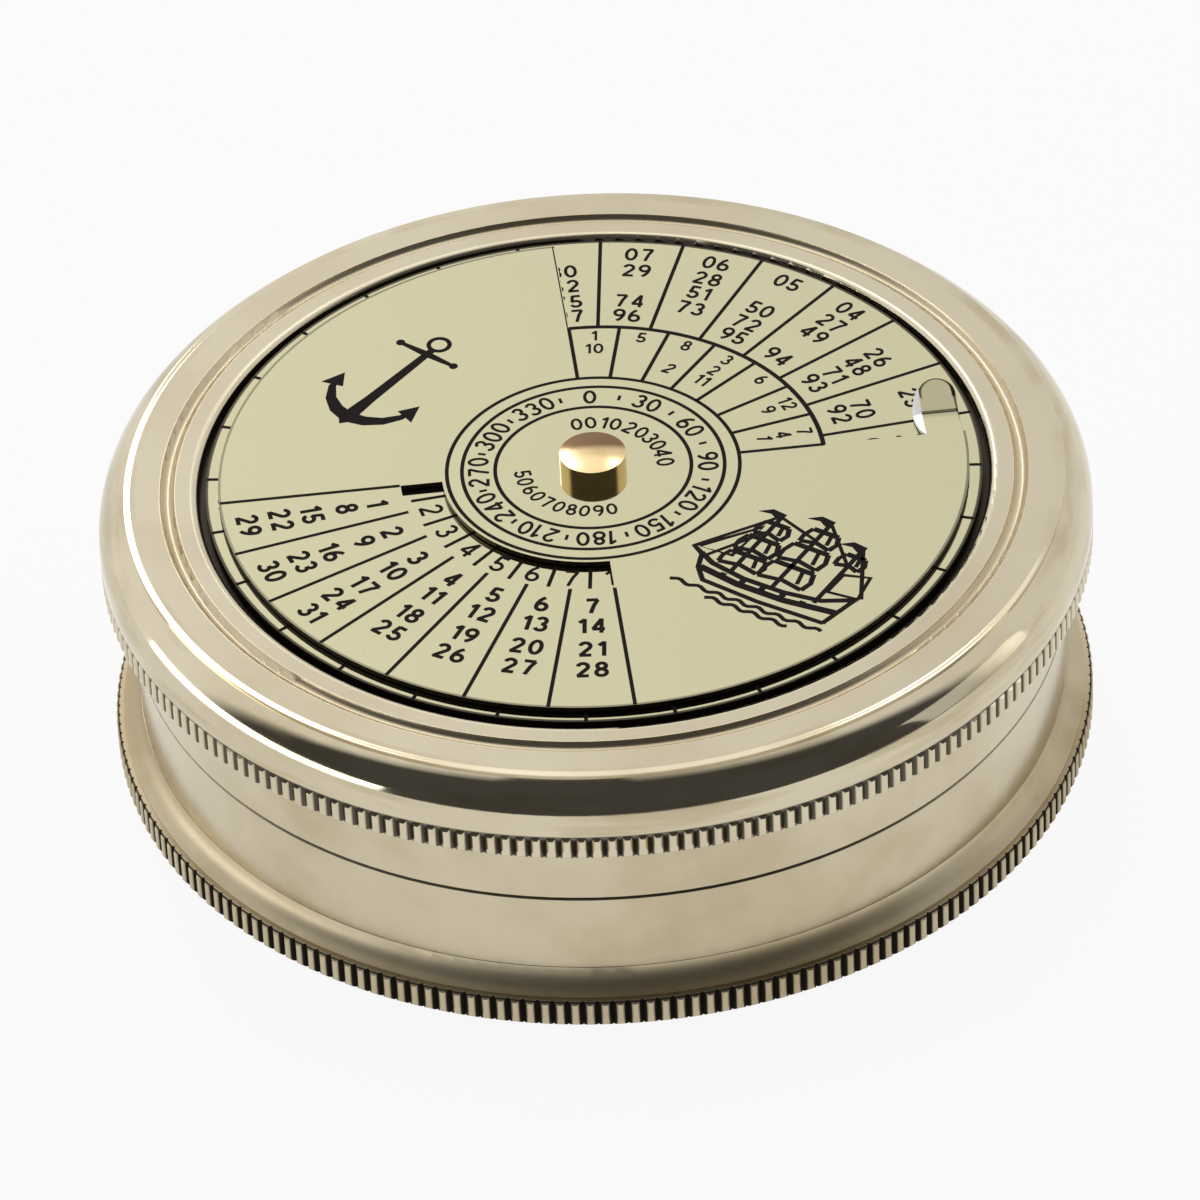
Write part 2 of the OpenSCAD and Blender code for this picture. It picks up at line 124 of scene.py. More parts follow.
class CompassDials(bpy.types.PropertyGroup):
    """Sizes of the printed dials."""

    disc_turn: angle("Disc turn", DISC_TURN, "Where the year window's first edge stands from the right")
    column_phase: angle("Column phase", 10.0, "Where the year plate's first column starts")
    ink: size("Ink", 0.012 * MM, "How far the print stands off the metal")
    line: size("Line", 0.3 * MM, "Width of a printed line")
    hub_r: size("Inner circle", 7.5 * MM, "Radius of the printed circle round the stud")
    words_r: size("Middle circle", 10.04 * MM, "Radius of the circle outside the ring of degrees")
    rim_r: size("Outer circle", 11.2 * MM, "Radius of the circle that closes the middle")
    month_r: size("Month ring", 17.9 * MM, "Outer radius of the month ring")
    day_in_r: size("Weekday ring inside", 10.8 * MM, "Inner radius of the weekday ring")
    day_out_r: size("Weekday ring outside", 14.2 * MM, "Outer radius of the weekday ring")
    date_in_r: size("Date ring inside", 14.85 * MM, "Inner radius of the date sector's lines")
    day_digit: size("Weekday figure", 1.8 * MM, "Height of a weekday's figure")
    year_digit: size("Year figure", 1.56 * MM, "Height of a year's figures")
    date_digit: size("Date figure", 1.66 * MM, "Height of a date's figures")
    month_digit: size("Month figure", 1.2 * MM, "Height of a month's figures")
    ring_digit: size("Ring figure", 1.6 * MM, "Height of the degrees' figures")


class CompassFinish(bpy.types.PropertyGroup):
    """Colours and polish of the metals and the print."""

    case_colour: colour("Case", (0.650, 0.580, 0.425), "Pale brass with a nickel tone")
    case_tarnish: colour("Case tarnish", (0.460, 0.375, 0.235), "Where the case has darkened")
    dial_colour: colour("Dial plates", (0.640, 0.600, 0.382), "Pale brass of the dial plates")
    # Near white, which paints a highlight on the finger tab's pressed edge
    worn_colour: colour("Worn edge", (0.930, 0.920, 0.880), "Bright edge of the finger tab")
    gold_colour: colour("Yellow brass", (0.740, 0.560, 0.300), "Yellow brass of the stud")
    # Dark residue in the knurls and the seam, and the colour of painted shade under the bead, in the recess,
    # on the plates' side walls and rims and on the finger tab
    dirt: colour("Dirt", (0.028, 0.022, 0.016), "Dark residue in grooves")
    ink_colour: colour("Ink", (0.012, 0.008, 0.008), "Black print")
    polish: share("Polish", 0.07, "Roughness of the polished lid")
    satin: share("Satin", 0.22, "Roughness of the plain walls")
    mirror: share("Mirror", 0.04, "Roughness of the dial plates")


class CompassStage(bpy.types.PropertyGroup):
    """Camera, floor and light."""

    distance: size("Distance", 0.589, "From the dial's centre to the camera")
    elevation: angle("Elevation", 38.0, "Height of the camera above the dial")
    roll: angle("Roll", -2.9, "Turn of the camera about its own line of sight")
    fill: share("Fill", 0.82, "Share of the picture's width that the case takes")
    aim_z: size("Aim height", 10 * MM, "Height of the point that the camera looks at")
    floor_colour: colour("Floor", (0.86, 0.86, 0.85), "Pale table top")
    floor_white: share("Floor white", 0.92, "Share of plain white in the floor's look")
    front_light: share("Front light", 0.075, "Brightness of the room behind the camera")


class Link:
    """One node socket, so that shader maths reads as an expression."""

    def __init__(self, recipe, socket):
        self.recipe = recipe
        self.socket = socket

    def _math(self, operation, *values):
        return self.recipe.add("ShaderNodeMath", {"operation": operation}, *values)

    def __add__(self, other): return self._math("ADD", self, other)
    def __radd__(self, other): return self._math("ADD", other, self)
    def __sub__(self, other): return self._math("SUBTRACT", self, other)
    def __rsub__(self, other): return self._math("SUBTRACT", other, self)
    def __mul__(self, other): return self._math("MULTIPLY", self, other)
    def __rmul__(self, other): return self._math("MULTIPLY", other, self)
    def __abs__(self): return self._math("ABSOLUTE", self)
    def root(self): return self._math("SQRT", self)
    def at_most(self, other): return self._math("MINIMUM", self, other)


class Recipe:
    """A node tree in the making."""

    def __init__(self, tree):
        self.tree = tree
        tree.nodes.clear()

    def add(self, kind, settings, *values, out=0, **named):
        """Adds a node, sets it up, feeds its sockets by place or by name, and returns an output."""
        node = self.tree.nodes.new(kind)
        for key, value in settings.items():
            setattr(node, key, value)
        for place, value in enumerate(values):
            self._feed(node.inputs[place], value)
        for name, value in named.items():
            self._feed(node.inputs[name.replace("_", " ")], value)
        return Link(self, node.outputs[out]) if node.outputs else None

    def _feed(self, socket, value):
        if isinstance(value, Link):
            self.tree.links.new(value.socket, socket)
        elif value is not None:
            socket.default_value = value

    def place(self):
        """The point on the object, in metres."""
        return self.add("ShaderNodeTexCoord", {}, out="Object")

    def parts(self, vector):
        """The three numbers of a vector."""
        node = self.add("ShaderNodeSeparateXYZ", {}, vector).socket.node
        return [Link(self, s) for s in node.outputs]

    def vector(self, x, y, z):
        """A vector from three numbers."""
        return self.add("ShaderNodeCombineXYZ", {}, x, y, z)

    def radius(self, x, y):
        """The distance from the centre."""
        return (x * x + y * y).root()

    def noise(self, vector, scale, detail=3.0, rough=0.55):
        """A cloudy pattern from 0 to 1."""
        return self.add("ShaderNodeTexNoise", {}, Vector=vector, Scale=scale, Detail=detail, Roughness=rough)

    def band(self, value, low, high):
        """0 below low, 1 above high, and smooth between."""
        smooth = {"interpolation_type": "SMOOTHSTEP"}
        return self.add("ShaderNodeMapRange", smooth, value, low, high, 0.0, 1.0)

    def past(self, value, mark, start, end):
        """0 before a mark and 1 past it. The fade starts and ends at these millimetres from the mark."""
        return self.band(value, mark + start * MM, mark + end * MM)

    def before(self, value, mark, start, end):
        """1 before a mark and 0 past it, with the same fade."""
        return 1.0 - self.past(value, mark, start, end)

    def mix(self, factor, a, b):
        """A blend of two colours."""
        a, b = (c if isinstance(c, Link) else (*c[:3], 1.0) for c in (a, b))
        numbers_and_vectors = [None] * 5
        return self.add("ShaderNodeMix", {"data_type": "RGBA"}, factor, *numbers_and_vectors, a, b, out=2)

    def bump(self, height, distance, strength=1.0, normal=None):
        """A normal from a height from 0 to 1, on top of another normal if there is one."""
        return self.add("ShaderNodeBump", {}, Height=height, Distance=distance, Strength=strength,
                        Normal=normal)


def new_material(name):
    """A material and the recipe for its empty node tree."""
    material = bpy.data.materials.new(name)
    material.use_nodes = True
    return material, Recipe(material.node_tree)


def finish_surface(recipe, shader):
    """Ends a recipe with its surface."""
    recipe.add("ShaderNodeOutputMaterial", {}, Surface=shader)


def principled(recipe, tone, metallic, rough, normal=None, **more):
    """The shader of every piece, apart from the clear part of the glass."""
    return recipe.add("ShaderNodeBsdfPrincipled", {}, Base_Color=tone, Metallic=metallic, Roughness=rough,
                      Normal=normal, **more)


def case_dirt(r, radius, z):
    """Where the case is darkened: dark residue and painted shade in both knurls, dark residue in the seam,
    and painted shade in the corner under the bead and in the lid's recess.
    """
    outer = r.past(radius, CASE_R, -0.6, -0.4)
    # Dark residue and painted shade in the valleys of the foot's and the lid's knurls
    foot = outer * r.before(z, FOOT_TOP, -0.1, 0.0) * r.before(radius, CASE_R, -0.17, -0.04)
    ring = r.past(z, KNURL_LOW, -0.02, 0.05) * r.before(z, KNURL_TOP, -0.02, 0.1)
    ring = outer * ring * r.before(radius, CASE_R, -0.22, -0.08)
    seam = r.before(abs(z - PARTING_Z), 0.0, 0.05, 0.18)
    # Painted shade in the corner under the bead
    shade_under_bead = r.past(z, KNURL_TOP, -0.04, 0.02) * r.before(z, KNURL_TOP, 0.16, 0.3)
    # Painted shade on the wall of the lid's recess, fainter near its top
    recess = r.before(radius, RECESS_R, -0.1, 0.1) * r.past(radius, RECESS_R, -1.4, -1.2)
    recess = recess * r.past(z, LID_TOP, -1.7, -1.2) * (1.0 - r.past(z, LID_TOP, -0.75, -0.5) * 0.85)
    return (foot + ring * 0.88 + seam * 0.75 + shade_under_bead * 0.7 + recess).at_most(1.0)


def case_material(finish):
    """Polished lid, satin walls, turning marks, darker tarnish in the groove, dark residue in the knurls and
    the seam, and painted shade in the knurls, under the bead and in the lid's recess.
    """
    material, r = new_material("case_brass")
    here = r.place()
    x, y, z = r.parts(here)
    radius = r.radius(x, y)
    clouds = r.noise(here, 70.0, 4.0)
    fine = r.noise(here, 900.0, 3.0)
    turned = r.noise(r.vector(radius * 9000.0, z * 9000.0, 0.0), 1.0, 4.0, 0.7)
    streaks = r.noise(r.vector(x * 160.0, y * 160.0, z * 2600.0), 1.0, 4.0, 0.6)
    wiped = r.noise(r.vector(x * 90.0, y * 90.0, z * 700.0), 1.0, 3.0, 0.6)
    top = r.past(z, LID_TOP, -0.4, -0.2)
    bead = r.past(radius, WALL_R, -1.1, -0.7) * r.past(z, KNURL_TOP, 0.2, 0.4)
    wall = r.past(radius, WALL_R, -0.8, -0.3) * r.before(z, KNURL_LOW, -0.3, 0.0)
    low = wall * r.before(z, 0.0, 3.0, 15.0)
    flare = r.past(radius, WALL_R, -0.05, 0.15) * r.before(z, FOOT_TOP, 3.15, 4.65)
    groove = r.past(radius, GROOVE_IN, -0.15, 0.0) * r.before(radius, GROOVE_OUT, -0.05, 0.15)
    groove = groove * r.past(z, LID_TOP, -0.9, -0.8)
    lip = r.past(radius, RECESS_R, -0.25, -0.15) * r.before(radius, RECESS_R, 0.4, 0.6)
    lip = lip * r.past(z, LID_TOP, -0.7, -0.6)
    dirt = case_dirt(r, radius, z)
    worn = r.band(clouds, 0.38, 0.75) * (0.35 + wall * 0.3)
    worn = worn + wall * 0.12 + low * 0.2 + flare * 0.2 + groove * 0.5
    tone = r.mix(worn.at_most(1.0), finish.case_colour, finish.case_tarnish)
    tone = r.mix(bead * r.band(wiped, 0.45, 0.7) * 0.6, tone, finish.case_tarnish)
    # Dark residue and painted shade take the dark colour
    tone = r.mix(dirt, tone, finish.dirt)
    rough = finish.polish + wall * (finish.satin - finish.polish) + bead * r.band(wiped, 0.5, 0.8) * 0.1
    rough = rough + flare * 0.24 + groove * 0.26 + lip * 0.14 + dirt * 0.3
    rough = rough + (streaks - 0.5) * 0.05 + (clouds - 0.5) * 0.04
    grain = turned * 0.6 + (streaks * 0.6 + fine * 0.4) * (1.0 - top * 0.8)
    fall = top * r.before(radius, WALL_R, -0.55, -0.01)
    normal = r.bump(fall, 0.047 * MM, 1.0, r.bump(grain, 0.0015 * MM, 0.4))
    finish_surface(r, principled(r, tone, 1.0, rough, normal))
    return material


def dial_material(finish, name="dial_plate"):
    """Bright rolled pale brass, with painted shade on its side walls, along the disc's outer edge and on the
    year plate's outer band, and painted marks on the finger tab.
    """
    material, r = new_material(name)
    here = r.place()
    x, y, z = r.parts(here)
    rolled = r.noise(r.vector(x * 150.0, y * 5200.0, z * 150.0), 1.0, 4.0, 0.65)
    clouds = r.noise(here, 55.0, 3.0)
    waves = r.noise(here, 120.0, 1.0)
    specks = r.band(r.noise(here, 2300.0, 2.0), 0.68, 0.74)
    facing = r.parts(r.add("ShaderNodeNewGeometry", {}, out="Normal"))[2]
    # Painted shade on the side walls, where the normal lies nearly flat
    edge = 1.0 - r.band(abs(facing), 0.25, 0.6)
    tone = r.mix(r.band(clouds, 0.35, 0.8) * 0.3, finish.dial_colour, finish.case_colour)
    tone = r.mix(specks * 0.2, tone, finish.case_tarnish)
    radius = r.radius(x, y)
    plate = r.before(z, YEAR_TOP, 0.02, 0.08)
    # Painted shade on the year plate's band outside the disc, and along the disc's outer edge
    rim = plate * r.past(radius, DISC_R, 0.72, 0.84)
    rim = rim + (1.0 - plate) * r.past(radius, DISC_R, -0.24, -0.16) * 0.75
    face, lip, tab_shade = tab_marks(r, x, y, z)
    # Painted shade: the tab's raised face is darker
    tone = r.mix(face * 0.3, tone, finish.case_tarnish)
    # Painted highlight: the tab's pressed edge turns near white
    tone = r.mix(lip, tone, finish.worn_colour)
    # Painted shade on the side walls, at the rims and on the finger tab
    dark = edge * 0.93 * (1.0 - lip) + rim * 0.95 + tab_shade * 0.85
    tone = r.mix(dark.at_most(1.0), tone, finish.dirt)
    rough = finish.mirror + rolled * 0.04 + (clouds - 0.5) * 0.03 + (edge + rim + lip) * 0.3
    normal = r.bump(waves * 0.7 + rolled * 0.3, 0.004 * MM, 0.3)
    finish_surface(r, principled(r, tone, 1.0, rough, normal))
    return material


def tab_marks(r, x, y, z):
    """Where the finger tab's raised face and its pressed edge are, and its painted shade: dark lines at the
    bend and along the far end, and a soft shadow before the bend.
    """
    turn = math.radians(DISC_TURN)
    along = x * math.cos(turn) + y * math.sin(turn)
    across = y * math.cos(turn) - x * math.sin(turn)
    tab = r.past(z, YEAR_TOP, 0.09, 0.1) * r.past(across, 0.0, 0.05, 0.1)
    tab = tab * r.past(along, TAB_FACE, -1.7, -1.6)
    lip = tab * r.before(along, TAB_FACE, -0.04, 0.04)
    face = tab * (1.0 - lip) * r.past(across, TAB_BEND, -0.05, 0.05)
    # Painted shade: a dark line at the bend, a soft shadow before it and a dark line along the far end
    bend = r.before(abs(across - TAB_BEND), 0.0, 0.1, 0.18) * 0.9
    shade = r.past(across, TAB_BEND, -0.9, -0.1) * r.before(across, TAB_BEND, -0.1, 0.0) * 0.35
    end = r.radius(along - TAB_TIP[0], (across - TAB_TIP[1]) * 1.09)
    outline = r.past(end, 0.0, 1.12, 1.22) * r.past(across, TAB_TIP[1], -0.5, -0.1)
    return face, lip, tab * (1.0 - lip) * (bend + shade + outline)


def gold_material(finish):
    """Turned yellow brass with rings from the lathe, and a painted dark reflection on the far half of its
    top.
    """
    material, r = new_material("gold_brass")
    here = r.place()
    x, y, z = r.parts(here)
    turned = r.noise(r.vector(r.radius(x, y) * 7000.0, z * 7000.0, 0.0), 1.0, 3.0, 0.6)
    clouds = r.noise(here, 400.0, 3.0)
    tone = r.mix(r.band(clouds, 0.4, 0.8) * 0.4, finish.gold_colour, (0.50, 0.30, 0.10))
    # Painted reflection: the far half of the stud's top turns dark reddish brown
    painted_far_reflection = r.past(y, 0.0, -0.1, 0.9) * r.past(z, DISC_TOP, 0.6, 0.9)
    tone = r.mix(painted_far_reflection * 0.85, tone, (0.14, 0.06, 0.03))
    normal = r.bump(turned, 0.004 * MM, 0.4)
    finish_surface(r, principled(r, tone, 1.0, 0.10 + turned * 0.10, normal))
    return material


def steel_material():
    """Fine ground spring steel."""
    material, r = new_material("spring_steel")
    fine = r.noise(r.place(), 1500.0, 4.0)
    tone = r.mix(r.band(fine, 0.45, 0.75) * 0.6, (0.42, 0.43, 0.45), (0.25, 0.25, 0.26))
    normal = r.bump(fine, 0.004 * MM, 0.4)
    finish_surface(r, principled(r, tone, 1.0, 0.25 + fine * 0.12, normal))
    return material


def needle_material():
    """Blued steel, with its north half in red lacquer."""
    material, r = new_material("blued_steel")
    here = r.place()
    fine = r.noise(here, 1400.0, 3.0)
    north = r.past(r.parts(here)[1], 2.5 * MM, -0.1, 0.1)
    blue = r.mix(fine, (0.02, 0.035, 0.16), (0.05, 0.08, 0.26))
    red = r.mix(fine, (0.42, 0.02, 0.015), (0.55, 0.04, 0.02))
    normal = r.bump(fine, 0.003 * MM, 0.4)
    finish_surface(r, principled(r, r.mix(north, blue, red), 1.0 - north, 0.24 + fine * 0.14, normal))
    return material


def plain_material(name, tone, other, rough, scale=1200.0, bump=0.01 * MM, shine=0.5):
    """Rubber, fibre, jewel or ink, with a fine grain."""
    material, r = new_material(name)
    grain = r.noise(r.place(), scale, 4.0)
    tone, rough = r.mix(grain, tone, other), rough + (grain - 0.5) * 0.2
    finish_surface(r, principled(r, tone, 0.0, rough, r.bump(grain, bump, 0.4), Specular_IOR_Level=shine))
    return material


def glass_material():
    """Clear flat glass, with faint smears that show in its shine."""
    material, r = new_material("clear_glass")
    smear = r.noise(r.place(), 60.0, 4.0)
    clear = r.add("ShaderNodeBsdfTransparent", {}, Color=(0.97, 0.99, 0.98, 1.0))
    shine = principled(r, (0.9, 0.95, 0.94, 1.0), 1.0, 0.02 + smear * 0.05)
    side = r.add("ShaderNodeLayerWeight", {}, out="Facing", Blend=0.5)
    square = side * side
    slant = square * square * side
    finish_surface(r, r.add("ShaderNodeMixShader", {}, 0.04 + slant * 0.9, clear, shine))
    return material


def polar(radius, degrees):
    """The point at a radius and an angle."""
    turn = math.radians(degrees)
    return Vector((radius * math.cos(turn), radius * math.sin(turn)))


def bow(x, y, wide, high, start, end):
    """Points along an oval from one angle to another."""
    steps = max(4, round(abs(end - start) / 15))
    turns = [math.radians(start + (end - start) * i / steps) for i in range(steps + 1)]
    return [(x + wide * math.cos(t), y + high * math.sin(t)) for t in turns]


# Pen lines of each figure, 1 high and standing on 0
SIX = (bow(0.31, 0.30, 0.235, 0.235, 0, 360), bow(0.62, 0.30, 0.55, 0.72, 175, 115))
FIGURES = {
    "0": (bow(0.31, 0.5, 0.245, 0.435, 0, 360),),
    "1": (((0.36, 0), (0.36, 1)), ((0.38, 0.96), (0.12, 0.74))),
    "2": (bow(0.30, 0.70, 0.225, 0.235, 170, -30) + [(0.07, 0.065)], ((0.03, 0.065), (0.57, 0.065))),
    "3": (bow(0.28, 0.725, 0.20, 0.21, 160, -90), bow(0.28, 0.29, 0.235, 0.225, 90, -160)),
    "4": (((0.44, 0.98), (0.06, 0.27)), ((0.03, 0.27), (0.60, 0.27)), ((0.44, 1), (0.44, 0))),
    "5": (((0.54, 0.935), (0.14, 0.935)), ((0.16, 0.98), (0.11, 0.47)),
          bow(0.29, 0.30, 0.245, 0.235, 145, -160)),
    "6": SIX,
    "7": (((0.04, 0.935), (0.57, 0.935)), ((0.55, 0.93), (0.38, 0.55), (0.24, 0))),
    "8": (bow(0.30, 0.735, 0.195, 0.20, 0, 360), bow(0.30, 0.285, 0.235, 0.225, 0, 360)),
    "9": [[(0.62 - x, 1 - y) for x, y in line] for line in SIX],
}


class Print:
    """Flat printed shapes, which are given the thickness of the ink in the end."""

    # Between two figures, as a share of their height
    gap = 0.13
    # How far one stroke's height is from the next one's, and after how many the heights repeat
    lift_step = 0.0004 * MM
    lifts = 9
    # Degrees between two points of an arc
    arc_step = 1.5

    def __init__(self):
        self.mesh = bmesh.new()
        self.strokes = 0

    def lift(self):
        """A height that differs from the last strokes', so that no two crossing ones share a plane."""
        self.strokes += 1
        return self.lift_step * (self.strokes % self.lifts)

    def shape(self, points):
        """A filled outline."""
        z = self.lift()
        self.mesh.faces.new([self.mesh.verts.new((p[0], p[1], z)) for p in points])

    def strip(self, left, right, closed=False):
        """Faces between two rows of points."""
        count, z = len(left), self.lift()
        a = [self.mesh.verts.new((p[0], p[1], z)) for p in left]
        b = [self.mesh.verts.new((p[0], p[1], z)) for p in right]
        for i in range(count if closed else count - 1):
            j = (i + 1) % count
            self.mesh.faces.new((a[i], a[j], b[j], b[i]))

    def arc(self, radius, width, start=0.0, end=FULL_TURN):
        """A line round the centre."""
        closed = end - start >= FULL_TURN
        steps = max(8, int((end - start) / self.arc_step))
        count = steps if closed else steps + 1
        turns = [start + (end - start) * i / steps for i in range(count)]
        inner = [polar(radius - width / 2, t) for t in turns]
        outer = [polar(radius + width / 2, t) for t in turns]
        self.strip(outer, inner, closed)

    def line(self, a, b, width):
        """A straight line."""
        a, b = Vector(a), Vector(b)
        side = (b - a).normalized().orthogonal() * width / 2
        self.shape((a - side, b - side, b + side, a + side))

    def spoke(self, degrees, r_in, r_out, width):
        """A straight line away from the centre."""
        self.line(polar(r_in, degrees), polar(r_out, degrees), width)

    def stroke(self, points, width):
        """A pen line through points, with one width or one for each, closed where its ends meet."""
        points = [Vector(p) for p in points]
        closed = len(points) > 2 and (points[0] - points[-1]).length < 1e-8
        if closed:
            points.pop()
        count = len(points)
        widths = [width] * count if isinstance(width, float) else width
        left, right = [], []
        for i, p in enumerate(points):
            before = points[i - 1] if i or closed else p
            after = points[(i + 1) % count] if i + 1 < count or closed else p
            side = (after - before).normalized().orthogonal() * widths[i] / 2
            left.append(p - side)
            right.append(p + side)
        self.strip(left, right, closed)

    def words(self, text, centre, height, degrees, slant=0.0, weight=0.13):
        """A row of figures centred on a point, with its top turned by an angle from +Y."""
        row, at = [], 0.0
        for sign in text:
            lines = FIGURES[sign]
            low = min(x for line in lines for x, y in line) - weight / 2
            high = max(x for line in lines for x, y in line) + weight / 2
            row.append((lines, at - low))
            at += high - low + self.gap
        middle = (at - self.gap) / 2
        turn = Matrix.Rotation(math.radians(degrees), 2) * height
        for lines, shift in row:
            for line in lines:
                points = [Vector((x + shift - middle + slant * (y - 0.5), y - 0.5)) for x, y in line]
                self.stroke([Vector(centre) + turn @ p for p in points], weight * height)

    def picture(self, centre, degrees, lines, fills, scale=1.0):
        """A line drawing in millimetres, turned and set on a point."""
        unit = MM * scale
        turn = Matrix.Rotation(math.radians(degrees), 2) * unit
        for width, points in lines:
            width = width * unit if isinstance(width, float) else [w * unit for w in width]
            self.stroke([Vector(centre) + turn @ Vector(p) for p in points], width)
        for points in fills:
            self.shape([Vector(centre) + turn @ Vector(p) for p in points])

    def make(self, name, z, ink, material, body):
        """Turns the shapes into thin solids on a surface at height z, riding on a body."""
        m = self.mesh
        for face in m.faces:
            face.normal_update()
            if face.normal.z < 0:
                face.normal_flip()
        tops = list(m.faces)
        rim = [e for e in m.edges if len(e.link_faces) == 1]
        lower = {}
        for v in list(m.verts):
            lower[v] = m.verts.new((v.co.x, v.co.y, z - ink - v.co.z))
            v.co.z += z + ink
        for face in tops:
            m.faces.new([lower[v] for v in reversed(face.verts)])
        for e in rim:
            loop = e.link_loops[0]
            a, b = loop.vert, loop.link_loop_next.vert
            m.faces.new((b, a, lower[a], lower[b]))
        mesh = bpy.data.meshes.new(name)
        m.to_mesh(mesh)
        m.free()
        mesh.materials.append(material)
        piece = bpy.data.objects.new(name, mesh)
        bpy.context.scene.collection.objects.link(piece)
        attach(piece, body)


def ink_material(finish):
    """The one black ink of all prints."""
    material = bpy.data.materials.get("print_ink")
    if material is None:
        tone = tuple(finish.ink_colour)
        lighter = tuple(c * 2.0 for c in tone)
        material = plain_material("print_ink", tone, lighter, 0.6, 2500.0, 0.004 * MM, 0.05)
    return material


def dress(node, material):
    """Gives a CAD node its material."""
    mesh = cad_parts[node].data
    mesh.materials.clear()
    mesh.materials.append(material)


class COMPASS_OT_case(bpy.types.Operator):
    """Finish the base, the lid and the rings in pale brass"""

    bl_idname = "compass.case"
    bl_label = "Case"

    def execute(self, context):
        finish = context.scene.compass_finish
        brass = case_material(finish)
        for node in ("base_shell", "lid_shell", "bezel_ring", "spacer_ring"):
            dress(node, brass)
        return {"FINISHED"}


class COMPASS_OT_plates(bpy.types.Operator):
    """Finish the calendar disc, the year plate and the compass card"""

    bl_idname = "compass.plates"
    bl_label = "Plates"

    def execute(self, context):
        finish = context.scene.compass_finish
        plate = dial_material(finish)
        for node in ("calendar_disc", "year_plate"):
            dress(node, plate)
        dress("compass_card", dial_material(finish, "card_plate"))
        return {"FINISHED"}


class COMPASS_OT_small_parts(bpy.types.Operator):
    """Finish the stud, the washers, the screws, the needle's parts and the glass"""

    bl_idname = "compass.small_parts"
    bl_label = "Small parts"

    # Node, material, two colours of its grain and roughness
    plain = (("jewel_cup", "jewel_red", (0.30, 0.01, 0.03), (0.45, 0.03, 0.06), 0.12),
             ("glass_gasket", "gasket_rubber", (0.012, 0.012, 0.012), (0.03, 0.03, 0.03), 0.75),
             ("disc_washer", "washer_fibre", (0.06, 0.04, 0.025), (0.11, 0.08, 0.05), 0.8))

    def execute(self, context):
        gold = gold_material(context.scene.compass_finish)
        for node in ("centre_stud", "stud_nut", "back_washer", "plate_pins", "card_screws",
                     "pivot_post", "needle_hub", "needle_weight"):
            dress(node, gold)
        steel = steel_material()
        for node in ("spring_washer", "pivot_pin"):
            dress(node, steel)
        dress("needle_bar", needle_material())
        dress("glass", glass_material())
        for node, name, tone, other, rough in self.plain:
            dress(node, plain_material(name, tone, other, rough))
        return {"FINISHED"}


class COMPASS_OT_year_print(bpy.types.Operator):
    """Print the years and the weekdays on the fixed plate"""

    bl_idname = "compass.year_print"
    bl_label = "Year print"

    year_rows = (27.95 * MM, 25.85 * MM, 23.9 * MM, 21.85 * MM, 19.95 * MM)
    day_row = 12.98 * MM
    # How many columns before the first one year 00 stands
    columns_back = 3

    def execute(self, context):
        dials = context.scene.compass_dials
        phase = math.degrees(dials.column_phase)
        page = Print()
        for column in range(COLUMNS):
            start = phase + COLUMN * column
            page.spoke(start, dials.month_r - 0.3 * MM, YEAR_R - EDGE, dials.line)
            page.spoke(start, dials.day_in_r, dials.day_out_r, dials.line)
            middle = start + COLUMN / 2
            day = (column + 1) % WEEKDAYS + 1
            page.words(str(day), polar(self.day_row, middle), dials.day_digit, middle + 90.0, weight=0.15)
        for year in range(100):
            row, column = divmod(year + year // 4, COLUMNS)
            middle = phase + COLUMN * (column - self.columns_back + 0.5)
            page.words(f"{year:02d}", polar(self.year_rows[row], middle), dials.year_digit,
                       middle - 90.0, weight=0.17)
        finish = context.scene.compass_finish
        page.make("year_print", YEAR_TOP, dials.ink, ink_material(finish), LID)
        return {"FINISHED"}


